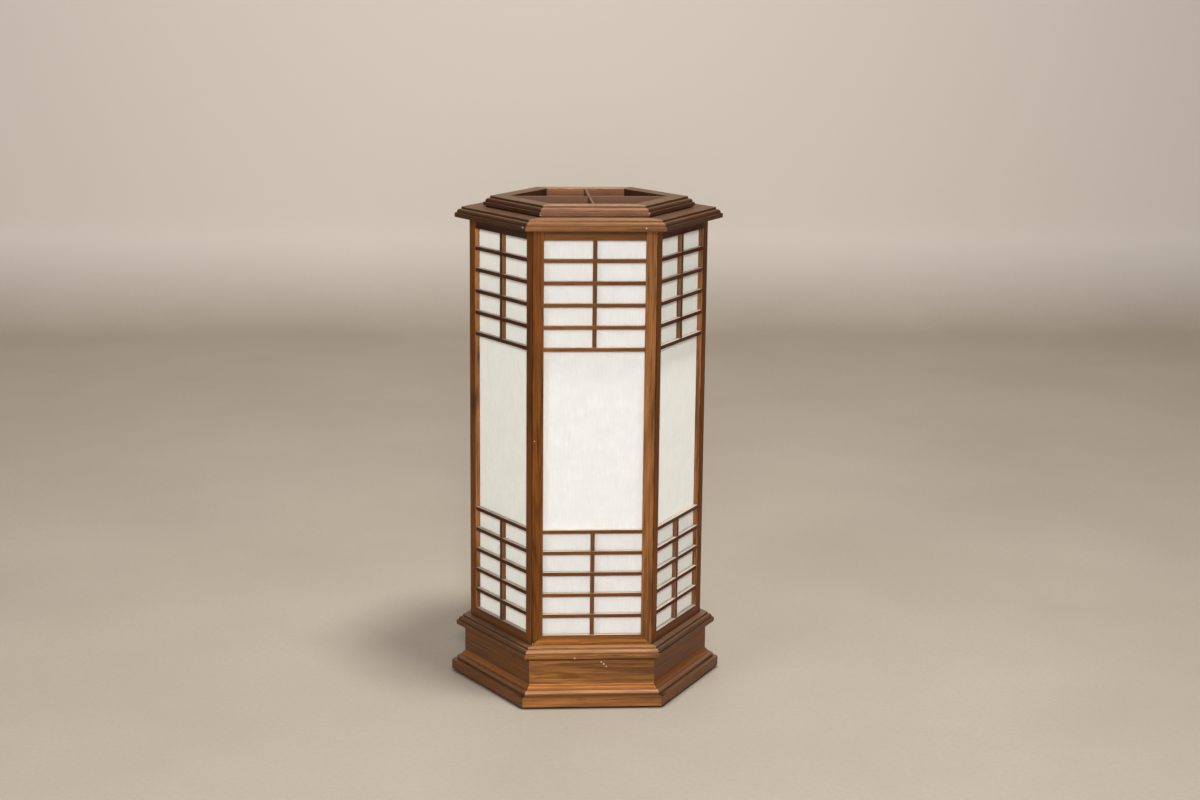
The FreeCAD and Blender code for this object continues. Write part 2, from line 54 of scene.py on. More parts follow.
Colour = tuple[float, float, float, float]
Point = tuple[float, float, float]
Tree = bpy.types.NodeTree
Node = bpy.types.Node
Socket = bpy.types.NodeSocket
Outputs = bpy.types.bpy_prop_collection
Feed = Union[Socket, float, Sequence[float]]
Feeds = dict[Union[str, int], Feed]
Piece = bpy.types.Object
Shape = bmesh.types.BMesh
Face = bmesh.types.BMFace
Vert = bmesh.types.BMVert

SIDES = ("front", "front_right", "back_right", "back", "back_left", "front_left")
SIDE_TURN = math.radians(360 / len(SIDES))
MM = 0.001
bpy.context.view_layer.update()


def paint(red: int, green: int, blue: int) -> Colour:
    """Linear colour of an 8-bit screen colour, by the usual curve of a screen.

    Args:
        red: Red level, 0 to 255.
        green: Green level.
        blue: Blue level.

    Returns:
        Red, green, blue and a full alpha, in linear light.
    """
    levels = []
    for level in (red, green, blue):
        share = level / 255
        levels.append(share / 12.92 if share <= 0.04045 else ((share + 0.055) / 1.055) ** 2.4)
    return (levels[0], levels[1], levels[2], 1.0)


class Run(Enum):
    """Which way the grain of a wooden piece runs."""

    ALONG_SIDE = "along its side of the lamp"
    UPRIGHT = "up"
    LENGTHWISE = "left to right"
    CROSSWISE = "front to back"

    def axes(self) -> Matrix:
        """Lay the grain along X.

        Returns:
            The turn that takes the grain of a piece on the front side to X.
        """
        if self is Run.UPRIGHT:
            return Matrix(((0, 0, 1), (1, 0, 0), (0, 1, 0)))
        if self is Run.CROSSWISE:
            return Matrix(((0, 1, 0), (0, 0, 1), (1, 0, 0)))
        return Matrix.Identity(3)


Solid = tuple[int, int, Run]
SolidFinder = Callable[[Vector], Solid]


@dataclass(frozen=True)
class Layer:
    """Noise of one stretched feature: its waves in a metre along X, Y and Z, and its texture."""

    stretch: Point
    detail: float = 3.0
    rough: float = 0.55
    bend: float = 0.0


class Shader:
    """Adds and joins the nodes of one node tree."""

    def __init__(self, tree: Tree) -> None:
        """Take over the tree of a material or a group."""
        self.tree = tree

    def add(self, kind: str, feeds: Feeds | None = None, **settings: object) -> Node:
        """Add one node.

        Args:
            kind: Node type.
            feeds: Values or source sockets for its inputs, by name or number.
            settings: Properties of the node.

        Returns:
            The new node.
        """
        node = self.tree.nodes.new(kind)
        for key, value in settings.items():
            setattr(node, key, value)
        self.fill(node, feeds or {})
        return node

    def fill(self, node: Node, feeds: Feeds) -> None:
        """Link sources to a node's inputs, or set the inputs' own values.

        Args:
            node: Node that takes them.
            feeds: Values or source sockets, by the input's name or number.
        """
        for key, value in feeds.items():
            if isinstance(value, Socket):
                self.tree.links.new(value, node.inputs[key])
            else:
                node.inputs[key].default_value = value

    def group(self, tree: Tree, feeds: Feeds) -> Outputs:
        """Outputs of a shared group."""
        return self.add("ShaderNodeGroup", feeds, node_tree=tree).outputs

    def math(self, operation: str, first: Feed, second: Feed = 0.0, third: Feed = 0.0) -> Socket:
        """Result of a Math node."""
        feeds = {0: first, 1: second, 2: third}
        return self.add("ShaderNodeMath", feeds, operation=operation).outputs[0]

    def mix(self, share: Feed, first: Feed, second: Feed) -> Socket:
        """Colour between two colours, by the share of the second."""
        feeds = {0: share, 6: first, 7: second}
        return self.add("ShaderNodeMix", feeds, data_type="RGBA").outputs[2]

    def noise(
        self, vector: Socket, scale: float, detail: float, rough: float = 0.55, bend: float = 0.0
    ) -> Socket:
        """Noise value at coordinates, by its waves in a unit of them."""
        feeds = {"Vector": vector, "Scale": scale, "Detail": detail, "Roughness": rough, "Distortion": bend}
        return self.add("ShaderNodeTexNoise", feeds).outputs[0]

    def layer(self, vector: Socket, layer: Layer) -> Socket:
        """Noise value of a stretched feature at coordinates in metres."""
        stretched = self.add("ShaderNodeVectorMath", {0: vector, 1: layer.stretch}, operation="MULTIPLY")
        return self.noise(stretched.outputs[0], 1.0, layer.detail, layer.rough, layer.bend)

    def ramp(self, value: Feed, low: float, high: float, start: float = 0.0, end: float = 1.0) -> Socket:
        """Value taken from one range to another, held at its ends."""
        feeds = {"Value": value, "From Min": low, "From Max": high, "To Min": start, "To Max": end}
        return self.add("ShaderNodeMapRange", feeds, clamp=True).outputs[0]

    def bump(self, height: Socket, strength: float, distance: float) -> Socket:
        """Normal of a surface with small heights."""
        feeds = {"Strength": strength, "Distance": distance, "Height": height}
        return self.add("ShaderNodeBump", feeds).outputs[0]

    def openness(self, distance: float) -> Socket:
        """Share of the surroundings that is free within a distance, which is low in a hollow."""
        return self.add("ShaderNodeAmbientOcclusion", {"Distance": distance}, samples=8).outputs["AO"]

    def attribute(self, name: str, output: str) -> Socket:
        """Output of a mesh attribute."""
        return self.add("ShaderNodeAttribute", attribute_name=name).outputs[output]

    def place(self) -> Socket:
        """Object coordinates."""
        return self.add("ShaderNodeTexCoord").outputs["Object"]

    def parts(self, vector: Socket) -> Outputs:
        """X, Y and Z of a vector."""
        return self.add("ShaderNodeSeparateXYZ", {0: vector}).outputs


class Effects:
    """Shader groups that several finishes share, each built once."""

    swell = Layer((2.2, 24, 24), detail=1.5, rough=0.4, bend=0.25)
    patches = Layer((7, 60, 60))
    streaks = Layer((7, 300, 300), rough=0.6, bend=0.2)
    fibres = Layer((14, 700, 700), detail=4, rough=0.7)
    pores = Layer((36, 1150, 1150), detail=2)
    scratches = Layer((900, 900, 4200), detail=2)
    ring_turns = 75
    calm_shade = 0.4
    pore_strength = 0.65

    def __init__(self) -> None:
        """Build the groups."""
        self.grain = self._grain()
        self.seams = self._seams()
        self.dust = self._dust()
        self.wear = self._wear()
        self.patina = self._patina()

    @staticmethod
    def _start(name: str, inputs: dict[str, str], outputs: dict[str, str]) -> tuple[Shader, Outputs, Node]:
        """Make an empty group.

        Args:
            name: Name of the group.
            inputs: Socket types of what goes in, by name.
            outputs: Socket types of what comes out, by name.

        Returns:
            The group's shader, what goes in, and the node that takes what comes out.
        """
        tree = bpy.data.node_groups.new(name, "ShaderNodeTree")
        for direction, sockets in (("INPUT", inputs), ("OUTPUT", outputs)):
            for label, kind in sockets.items():
                tree.interface.new_socket(label, in_out=direction, socket_type="NodeSocket" + kind)
        shader = Shader(tree)
        return shader, shader.add("NodeGroupInput").outputs, shader.add("NodeGroupOutput")

    def _grain(self) -> Tree:
        """Growth rings, fibres and pores of wood, along the X of its coordinates.

        Returns:
            The group.
        """
        inputs = {"Run": "Vector", "Tone": "Float", "Figure": "Float"}
        inputs |= {"Light": "Color", "Dark": "Color", "Pore": "Color"}
        outputs = {"Color": "Color", "Height": "Float", "Lustre": "Float"}
        shader, given, made = self._start("wood_grain", inputs, outputs)
        run, tone, figure = given["Run"], given["Tone"], given["Figure"]
        swell = shader.layer(run, self.swell)
        rings = shader.math("SINE", shader.math("MULTIPLY", swell, self.ring_turns))
        patches = shader.layer(run, self.patches)
        fibres = shader.layer(run, self.fibres)
        pores = shader.ramp(shader.layer(run, self.pores), 0.57, 0.68)
        streaks = shader.layer(run, self.streaks)
        dense = shader.ramp(patches, 0.36, 0.6, 0.25, 1.0)
        late = shader.math("MULTIPLY", shader.ramp(rings, 0.0, 1.0), dense)
        shade = shader.math("MULTIPLY_ADD", late, 0.4, shader.ramp(patches, 0.38, 0.7, 0.0, 0.45))
        shade = shader.math("ADD", shade, shader.ramp(streaks, 0.44, 0.7, 0.0, 0.28))
        shade = shader.math("ADD", shade, shader.ramp(fibres, 0.4, 0.7, 0.0, 0.75))
        shade = shader.ramp(shade, 0.14, 1.1)
        calm = shader.math("MULTIPLY", shader.math("SUBTRACT", 1.0, figure), self.calm_shade)
        shade = shader.math("MULTIPLY_ADD", shade, figure, calm)
        colour = shader.mix(shade, given["Light"], given["Dark"])
        colour = shader.mix(shader.math("MULTIPLY", pores, self.pore_strength), colour, given["Pore"])
        tinted = shader.add("ShaderNodeHueSaturation", {
            "Color": colour,
            "Value": shader.math("ADD", tone, 0.5),
            "Hue": shader.ramp(tone, 0, 1, 0.494, 0.506),
            "Saturation": shader.ramp(tone, 0.8, 1.8, 1.0, 0.8),
        })
        dents = shader.math("MULTIPLY", pores, 0.6)
        shader.fill(made, {
            "Color": tinted.outputs[0],
            "Height": shader.math("SUBTRACT", shader.math("MULTIPLY", fibres, 0.4), dents),
            "Lustre": shader.math("SUBTRACT", 1.0, shade),
        })
        return shader.tree

    def _seams(self) -> Tree:
        """Thin broken lines where two lengths meet at the six corners of the lamp.

        Returns:
            The group.
        """
        shader, given, made = self._start("corner_seams", {"Width": "Float"}, {"Mask": "Float"})
        place = shader.place()
        parts = shader.parts(place)
        squares = shader.math("MULTIPLY_ADD", parts["X"], parts["X"], shader.math("POWER", parts["Y"], 2))
        angle = shader.math("ARCTAN2", parts["Y"], parts["X"])
        off_corner = shader.math("PINGPONG", angle, SIDE_TURN / 2)
        gap = shader.math("MULTIPLY", off_corner, shader.math("SQRT", squares))
        broken = shader.ramp(shader.noise(place, 70, 3), 0.3, 0.6, 0.35, 1.0)
        width = shader.math("MULTIPLY", broken, given["Width"])
        shader.fill(made, {"Mask": shader.math("LESS_THAN", gap, width)})
        return shader.tree

    def _dust(self) -> Tree:
        """Dust on faces that look up.

        Returns:
            The group.
        """
        inputs = {"Color": "Color", "Amount": "Float", "Dust": "Color"}
        shader, given, made = self._start("settled_dust", inputs, {"Color": "Color", "Mask": "Float"})
        normal = shader.add("ShaderNodeNewGeometry").outputs["Normal"]
        cover = shader.ramp(shader.parts(normal)["Z"], 0.72, 0.98)
        place = shader.place()
        patches = shader.ramp(shader.noise(place, 28, 4), 0.3, 0.7, 0.7, 1.0)
        specks = shader.ramp(shader.noise(place, 900, 2), 0.35, 0.65, 0.8, 1.0)
        mask = shader.math("MULTIPLY", shader.math("MULTIPLY", cover, patches), specks)
        mask = shader.math("MULTIPLY", mask, given["Amount"])
        shader.fill(made, {"Color": shader.mix(mask, given["Color"], given["Dust"]), "Mask": mask})
        return shader.tree

    def _wear(self) -> Tree:
        """Finish rubbed thin on eased edges, in a pale bare colour that is real wear and also painted
        highlight along the edges.

        Returns:
            The group.
        """
        inputs = {"Color": "Color", "Arris": "Float", "Amount": "Float", "Bare": "Color"}
        shader, given, made = self._start("edge_wear", inputs, {"Color": "Color", "Mask": "Float"})
        rubbed = shader.ramp(shader.noise(shader.place(), 55, 5, 0.65), 0.42, 0.68)
        mask = shader.math("MULTIPLY", shader.math("MULTIPLY", rubbed, given["Arris"]), given["Amount"])
        shader.fill(made, {"Color": shader.mix(mask, given["Color"], given["Bare"]), "Mask": mask})
        return shader.tree

    def _patina(self) -> Tree:
        """Handling marks on metal and moulded parts: dull patches and fine scratches.

        Returns:
            The group.
        """
        inputs = {"Color": "Color", "Stain": "Color", "Amount": "Float", "Polish": "Float"}
        outputs = {"Color": "Color", "Roughness": "Float", "Height": "Float"}
        shader, given, made = self._start("handling_marks", inputs, outputs)
        place = shader.place()
        patches = shader.ramp(shader.noise(place, 140, 5, 0.6), 0.45, 0.75)
        scratches = shader.ramp(shader.layer(place, self.scratches), 0.55, 0.7)
        mask = shader.math("MULTIPLY", patches, given["Amount"])
        rough = shader.math("MULTIPLY_ADD", mask, 0.3, given["Polish"])
        shader.fill(made, {
            "Color": shader.mix(mask, given["Color"], given["Stain"]),
            "Roughness": shader.math("MULTIPLY_ADD", scratches, 0.06, rough),
            "Height": scratches,
        })
        return shader.tree


EFFECTS = Effects()


@dataclass(frozen=True)
class Finish:
    """Finish of a surface, with one material that all its pieces share."""

    name: str

    @cache
    def material(self) -> bpy.types.Material:
        """Make the material the first time, and give the same one after that.

        Returns:
            The material.
        """
        material = bpy.data.materials.new(self.name)
        material.use_nodes = True
        shader = Shader(material.node_tree)
        shader.fill(shader.tree.nodes["Principled BSDF"], self.surface(shader))
        return material

    def surface(self, shader: Shader) -> Feeds:
        """What the Principled shader takes, which each kind of finish says for itself."""
        raise NotImplementedError


@dataclass(frozen=True)
class Chip:
    """Spot where the finish is knocked off: its place and radius in millimetres."""

    x: float
    y: float
    z: float
    radius: float


@dataclass(frozen=True)
class PaintedLightBand:
    """Level stripe of painted light on a wooden piece, by heights in millimetres: painted shade where it is
    darker than the rest, painted highlight where its colour is brighter.

    A stripe with a front distance is on the front side only, and fades behind it.
    """

    start: float
    full: float
    end: float
    strength: float
    # A stripe with a colour paints that colour on; a stripe without one is painted shade.
    colour: Colour | None = None
    margin: float = 0.3
    front: float = 0.0
    fade: float = 12.0

    def mask(self, shader: Shader) -> Socket:
        """Share of the stripe at a place.

        Args:
            shader: Shader of the material.

        Returns:
            A value that grows from the stripe's start and stops short at its end.
        """
        parts = shader.parts(shader.place())
        rise = shader.ramp(parts["Z"], self.start * MM, self.full * MM, 0.0, self.strength)
        fall = shader.ramp(parts["Z"], self.end * MM, (self.end + self.margin) * MM, 1.0, 0.0)
        share = shader.math("MULTIPLY", rise, fall)
        if self.front:
            ahead = shader.ramp(parts["Y"], -self.front * MM, (self.fade - self.front) * MM, 1.0, 0.0)
            share = shader.math("MULTIPLY", share, ahead)
        return share


@dataclass(frozen=True)
class WoodFinish(Finish):
    """Stained and varnished wood."""

    slot: str
    light: Colour
    dark: Colour
    pore: Colour
    bare: Colour
    dust_colour: Colour
    roughness: float = 0.48
    figure: float = 1.0
    relief: float = 0.4 * MM
    relief_strength: float = 0.25
    coat: float = 0.4
    coat_roughness: float = 0.42
    ior: float = 1.6
    gleam: float = 0.7
    gleam_tint: Colour = (1.0, 0.37, 0.07, 1.0)
    lustre: float = 0.95
    fibre_sheen: float = 0.9
    fibre_turn: float = 0.25
    dust: float = 0.3
    dust_dullness: float = 0.35
    # Amount of pale rubbed edges: real wear and painted highlight along the edges.
    wear: float = 0.5
    wear_dullness: float = 0.15
    # Strength of the painted shade in hollows; the seams have their own strength.
    painted_shade_and_seams: float = 1.0
    hollow: float = 2.5 * MM
    shelter: float = 1.0
    seam: float = 0.0
    seam_strength: float = 0.95
    painted_light_bands: tuple[PaintedLightBand, ...] = ()
    chips: tuple[Chip, ...] = ()

    def surface(self, shader: Shader) -> Feeds:
        """Grain under varnish, rubbed edges that are also painted highlight, a few chips, dust on what looks
        up, and painted shade in hollows and stripes.

        Args:
            shader: Shader of the material.

        Returns:
            What the Principled shader takes.
        """
        grain = shader.group(EFFECTS.grain, {
            "Run": shader.attribute("grain", "Vector"), "Tone": shader.attribute("tone", "Fac"),
            "Figure": self.figure, "Light": self.light, "Dark": self.dark, "Pore": self.pore,
        })
        wear = shader.group(EFFECTS.wear, {
            "Color": grain["Color"], "Arris": shader.attribute("arris", "Fac"),
            "Amount": self.wear, "Bare": self.bare,
        })
        colour = wear["Color"]
        if self.chips:
            colour = shader.mix(self._chip_mask(shader), colour, self.bare)
        colour, painted_shade_and_seams, settling = self._shade_seams_and_stripes(shader, colour)
        amount = shader.math("MULTIPLY", settling, self.dust)
        dust = shader.group(EFFECTS.dust, {"Color": colour, "Amount": amount, "Dust": self.dust_colour})
        rough = shader.math("MULTIPLY_ADD", dust["Mask"], self.dust_dullness, self.roughness)
        clear = shader.math("SUBTRACT", 1.0, shader.math("MAXIMUM", painted_shade_and_seams, dust["Mask"]))
        lustre = shader.math("MULTIPLY", grain["Lustre"], clear)
        return {
            "Base Color": dust["Color"],
            "Roughness": shader.math("MULTIPLY_ADD", wear["Mask"], self.wear_dullness, rough),
            "Normal": shader.bump(grain["Height"], self.relief_strength, self.relief),
            "Metallic": shader.math("MULTIPLY", lustre, self.lustre),
            "Coat Weight": self.coat,
            "Coat Roughness": self.coat_roughness,
            "IOR": self.ior,
            "Specular IOR Level": self.gleam,
            "Specular Tint": self.gleam_tint,
            "Anisotropic": self.fibre_sheen,
            "Anisotropic Rotation": self.fibre_turn,
            "Tangent": shader.attribute("fibre", "Vector"),
        }

    def _shade_seams_and_stripes(self, shader: Shader, colour: Socket) -> tuple[Socket, Socket, Socket]:
        """Paint shade into hollows, darken the seams, and lay the stripes of painted light.

        Args:
            shader: Shader of the material.
            colour: Colour of the clean wood.

        Returns:
            The colour, the mask of the painted shade and the dark seams, and the share of dust that can
            settle.
        """
        # Painted shade: where little of the surroundings is free, the wood turns towards its pore colour.
        free = shader.openness(self.hollow)
        painted_shade_and_seams = shader.math("MULTIPLY", shader.ramp(free, 0.4, 0.72, 1.0, 0.0), self.painted_shade_and_seams)
        if self.seam:
            seams = shader.group(EFFECTS.seams, {"Width": self.seam})["Mask"]
            painted_shade_and_seams = shader.math("MAXIMUM", painted_shade_and_seams, shader.math("MULTIPLY", seams, self.seam_strength))
        settling = shader.ramp(free, 0.55, 0.85, 1.0 - self.shelter, 1.0)
        # Stripes of painted light: one without a colour adds painted shade to the mask, one with a colour
        # paints it on.
        for light_band in self.painted_light_bands:
            mask = light_band.mask(shader)
            settling = shader.math("MULTIPLY", settling, shader.math("SUBTRACT", 1.0, mask))
            if light_band.colour:
                colour = shader.mix(mask, colour, light_band.colour)
            else:
                painted_shade_and_seams = shader.math("MAXIMUM", painted_shade_and_seams, mask)
        return shader.mix(painted_shade_and_seams, colour, self.pore), painted_shade_and_seams, settling

    def _chip_mask(self, shader: Shader) -> Feed:
        """Ragged spots of bare wood.

        Args:
            shader: Shader of the material.

        Returns:
            1 in a chip and 0 elsewhere.
        """
        place = shader.place()
        ragged = shader.noise(place, 900, 3)
        mask: Feed = 0.0
        for chip in self.chips:
            feeds = {0: place, 1: (chip.x * MM, chip.y * MM, chip.z * MM)}
            gap = shader.add("ShaderNodeVectorMath", feeds, operation="DISTANCE").outputs["Value"]
            reach = shader.math("MULTIPLY", ragged, 2 * chip.radius * MM)
            mask = shader.math("MAXIMUM", mask, shader.math("LESS_THAN", gap, reach))
        return mask


@dataclass(frozen=True)
class PaperFinish(Finish):
    """Thin handmade paper with long upright fibres."""

    slot: str
    sheet: Colour
    fibre: Colour
    shade: Colour
    streaks: Layer = Layer((520, 520, 60), detail=4, rough=0.65)
    weave: Layer = Layer((1500, 1500, 260), detail=2)
    roughness: float = 0.9
    gleam: float = 0.2
    tooth: float = 0.3 * MM
    tooth_strength: float = 0.15

    def surface(self, shader: Shader) -> Feeds:
        """Cloudy sheet, pale and grey fibres, a slight tooth.

        Args:
            shader: Shader of the material.

        Returns:
            What the Principled shader takes.
        """
        place = shader.place()
        cloud = shader.ramp(shader.noise(place, 60, 5, 0.65), 0.35, 0.65)
        streaks = shader.layer(place, self.streaks)
        weave = shader.layer(place, self.weave)
        colour = shader.mix(shader.math("MULTIPLY", cloud, 0.4), self.sheet, self.shade)
        colour = shader.mix(shader.ramp(streaks, 0.52, 0.75, 0.0, 0.5), colour, self.shade)
        colour = shader.mix(shader.ramp(streaks, 0.28, 0.46, 0.6, 0.0), colour, self.fibre)
        height = shader.math("ADD", streaks, shader.math("MULTIPLY", weave, 0.5))
        return {
            "Base Color": colour,
            "Roughness": self.roughness,
            "Diffuse Roughness": 1.0,
            "Specular IOR Level": self.gleam,
            "Normal": shader.bump(height, self.tooth_strength, self.tooth),
        }


@dataclass(frozen=True)
class MarkedFinish(Finish):
    """Metal, glass, felt or moulded plastic with marks of handling."""

    slot: str
    colour: Colour
    stain: Colour
    polish: float
    metallic: float = 0.0
    marks: float = 0.5
    scratch: float = 0.2 * MM
    scratch_strength: float = 0.05

    def surface(self, shader: Shader) -> Feeds:
        """Base colour broken by dull patches and fine scratches.

        Args:
            shader: Shader of the material.

        Returns:
            What the Principled shader takes.
        """
        patina = shader.group(EFFECTS.patina, {
            "Color": self.colour, "Stain": self.stain, "Amount": self.marks, "Polish": self.polish,
        })
        return {
            "Base Color": patina["Color"],
            "Roughness": patina["Roughness"],
            "Metallic": self.metallic,
            "Normal": shader.bump(patina["Height"], self.scratch_strength, self.scratch),
        }


@dataclass(frozen=True)
class PlainFinish(Finish):
    """Plain colour of a slot, as it comes with the frame."""

    slot: str

    def material(self) -> bpy.types.Material:
        """Material of the frame that has the finish's name."""
        return bpy.data.materials[self.name]


@dataclass(frozen=True)
class FloorFinish(Finish):
    """Pale speckled floor that turns into a plain wall, with a painted contact shadow close to what stands
    on it.
    """

    pale: Colour
    paler: Colour
    speckle: Colour
    wall: Colour
    contact_shadow: Colour
    wall_rise: float = 0.2
    contact_reach: float = 9 * MM
    roughness: float = 0.6

    def surface(self, shader: Shader) -> Feeds:
        """Soft clouds and speckles, then the wall, then the painted contact shadow.

        Args:
            shader: Shader of the material.

        Returns:
            What the Principled shader takes.
        """
        place = shader.place()
        colour = shader.mix(shader.ramp(shader.noise(place, 3, 5), 0.3, 0.7), self.pale, self.paler)
        speckle = shader.ramp(shader.noise(place, 160, 5, 0.7), 0.45, 0.75, 0.0, 0.35)
        colour = shader.mix(speckle, colour, self.speckle)
        rise = shader.ramp(shader.parts(place)["Z"], 0.0, self.wall_rise)
        colour = shader.mix(rise, colour, self.wall)
        # Painted contact shadow: the floor turns dark where little of the surroundings is free.
        shadow_share = shader.ramp(shader.openness(self.contact_reach), 0.3, 0.85, 0.8, 0.0)
        return {"Base Color": shader.mix(shadow_share, colour, self.contact_shadow), "Roughness": self.roughness}


STILE_WOOD = WoodFinish(
    name="stile_wood", slot="frame_wood",
    light=(0.300, 0.098, 0.017, 1), dark=(0.032, 0.010, 0.003, 1), pore=(0.014, 0.006, 0.003, 1),
    bare=paint(206, 178, 140), dust_colour=paint(178, 160, 138), dust=0.3, wear=0.35, gleam=0.4, lustre=0.3,
    seam=0.6 * MM, painted_shade_and_seams=0.4, figure=0.75, coat=0.12,
    chips=(
        Chip(-68.9, -121.2, 72.1, 1.2), Chip(-67.3, -121.2, 314.0, 0.7), Chip(-133.3, -11.6, 489.2, 0.9),
    ),
)
# Darker copy of the frame wood for the top rails: painted shade of the cornice's overhang, with a stripe of
# painted shade that deepens towards the cornice.
SHADED_TOP_RAIL_WOOD = WoodFinish(
    name="top_rail_wood", slot="frame_wood",
    light=(0.115, 0.036, 0.007, 1), dark=(0.024, 0.008, 0.003, 1), pore=(0.012, 0.005, 0.003, 1),
    bare=paint(176, 122, 78), dust_colour=paint(178, 160, 138), dust=0.3, wear=0.35, coat=0.2,
    painted_light_bands=(PaintedLightBand(546.0, 552.0, 560.0, 0.92),),
)
# Lighter copy of the frame wood for the bottom rails: painted highlight, with a stripe of painted shade
# along their upper edge.
LIT_BOTTOM_RAIL_WOOD = WoodFinish(
    name="bottom_rail_wood", slot="frame_wood",
    light=(0.400, 0.145, 0.024, 1), dark=(0.060, 0.018, 0.005, 1), pore=(0.018, 0.007, 0.003, 1),
    bare=paint(186, 132, 84), dust_colour=paint(222, 210, 192), dust=0.95, wear=0.1, painted_shade_and_seams=0.1, shelter=0.0,
    figure=0.8, painted_light_bands=(PaintedLightBand(76.0, 82.0, 82.6, 0.85),),
)
# Stripes of painted shade: the shadow on the frieze under the base moulding, the shade on the moulding's
# step, and a darker brown on its round that dims the highlight there.
BASE_WOOD = WoodFinish(
    name="base_wood", slot="moulding_wood",
    light=(0.300, 0.118, 0.028, 1), dark=(0.031, 0.012, 0.005, 1), pore=(0.010, 0.005, 0.003, 1),
    bare=paint(215, 178, 140), dust_colour=paint(140, 124, 106), dust=0.55, wear=0.45, seam=0.7 * MM,
    figure=0.85, lustre=0.85,
    painted_light_bands=(
        PaintedLightBand(52.8, 54.6, 59.4, 0.94), PaintedLightBand(63.2, 63.7, 64.6, 0.7),
        PaintedLightBand(64.8, 65.4, 67.4, 0.5, (0.14, 0.075, 0.040, 1)),
    ),
    chips=(
        Chip(10.8, -127.2, 52.0, 0.8), Chip(13.8, -127.2, 49.4, 0.9), Chip(16.7, -127.2, 46.6, 0.8),
        Chip(-20.8, -136.3, 59.7, 0.9),
    ),
)
# Stripes of painted light: painted shade on the step under the bead, on the front side only, a pale painted
# highlight on the bead's top, and an orange painted highlight on the coves.
SKIRT_WOOD = WoodFinish(
    name="skirt_wood", slot="moulding_wood",
    light=(0.296, 0.114, 0.027, 1), dark=(0.032, 0.011, 0.005, 1), pore=(0.010, 0.005, 0.003, 1),
    bare=paint(205, 160, 120), dust_colour=paint(150, 134, 116), dust=0.3, wear=0.45, seam=0.7 * MM,
    figure=0.85, painted_shade_and_seams=0.25, lustre=0.65,
    painted_light_bands=(
        PaintedLightBand(13.1, 13.6, 15.1, 0.9, front=135.5), PaintedLightBand(16.0, 17.2, 19.6, 0.2, (0.66, 0.36, 0.22, 1)),
        PaintedLightBand(19.8, 20.6, 26.2, 0.45, (0.60, 0.21, 0.035, 1)),
    ),
)
# Stripes of painted shade: the shadow along the cornice's lower edge, the shade on its step, and a darker
# brown on its upper edge that dims the highlight there.
CAP_WOOD = WoodFinish(
    name="cap_wood", slot="moulding_wood",
    light=(0.218, 0.078, 0.018, 1), dark=(0.024, 0.009, 0.005, 1), pore=(0.010, 0.005, 0.003, 1),
    bare=paint(215, 185, 150), dust_colour=paint(142, 122, 96), dust=0.6, wear=0.5, seam=0.7 * MM,
    gleam_tint=(1.0, 0.42, 0.12, 1.0), figure=0.85, coat=0.2,
    painted_light_bands=(
        PaintedLightBand(555.0, 555.2, 556.6, 0.92), PaintedLightBand(559.6, 560.1, 561.3, 0.85),
        PaintedLightBand(566.4, 566.9, 567.9, 0.4, (0.11, 0.065, 0.042, 1)),
    ),
    chips=(
        Chip(-81.7, -131.3, 560.5, 2.0), Chip(55.6, -136.3, 559.1, 0.7), Chip(62.0, -107.5, 573.5, 1.4),
        Chip(-61.5, -107.5, 569.1, 0.9),
    ),
)
# The crown's own stripe is painted shade on its step.
CROWN_WOOD = replace(
    CAP_WOOD, name="crown_wood", light=(0.188, 0.073, 0.030, 1), gleam_tint=(1.0, 0.46, 0.22, 1.0),
    painted_light_bands=(PaintedLightBand(572.3, 572.8, 574.0, 0.7),),
)
# The bars' very pale dust on their tops is partly real dust and partly painted highlight.
LATTICE_WOOD = WoodFinish(
    name="lattice_wood", slot="lattice_wood",
    light=(0.172, 0.057, 0.010, 1), dark=(0.030, 0.010, 0.004, 1), pore=(0.014, 0.006, 0.003, 1),
    bare=paint(170, 118, 76), dust_colour=paint(236, 228, 210), dust=1.0, wear=0.3, painted_shade_and_seams=0.4, shelter=0.0,
    coat=0.2,
)
SLAT_WOOD = PlainFinish(name="lattice_wood", slot="lattice_wood")
INNER_WOOD = WoodFinish(
    name="inner_wood", slot="inner_wood",
    light=paint(196, 158, 112), dark=paint(168, 124, 80), pore=paint(126, 88, 54),
    bare=paint(210, 178, 136), dust_colour=paint(190, 176, 156), roughness=0.65, coat=0.0, gleam=0.5,
    gleam_tint=(1, 1, 1, 1), lustre=0.0, wear=0.2, painted_shade_and_seams=0.3,
)
PAPER = PaperFinish(
    name="rice_paper", slot="paper",
    sheet=paint(239, 238, 236), fibre=paint(246, 246, 245), shade=paint(227, 225, 221),
)
# Copy of the paper for the five sides other than the front, darker as painted shade of the sides and a
# little yellower.
SHADED_SIDE_PAPER = replace(
    PAPER, name="side_paper",
    sheet=paint(227, 225, 217), fibre=paint(234, 233, 226), shade=paint(215, 212, 202),
)
FELT = MarkedFinish("felt", "felt", paint(58, 54, 50), paint(84, 78, 70), 0.92)
BUSHING = MarkedFinish("bushing_plastic", "bushing_plastic", paint(52, 34, 24), paint(70, 52, 40), 0.5)
STEEL = MarkedFinish("plated_steel", "plated_steel", paint(196, 192, 184), paint(150, 140, 122), 0.28, 1.0)
BRASS = MarkedFinish("holder_brass", "holder_brass", paint(214, 172, 96), paint(150, 108, 56), 0.22, 1.0)
INSULATION = MarkedFinish(
    "holder_insulation", "holder_insulation", paint(34, 31, 29), paint(60, 54, 48), 0.45
)
KNOB = MarkedFinish("knob_plastic", "knob_plastic", paint(30, 26, 24), paint(56, 50, 44), 0.25)
BULB_METAL = MarkedFinish("bulb_metal", "bulb_metal", paint(214, 214, 212), paint(168, 164, 158), 0.3, 1.0)
BULB_GLASS = MarkedFinish("bulb_glass", "bulb_glass", paint(238, 236, 230), paint(226, 222, 212), 0.3)
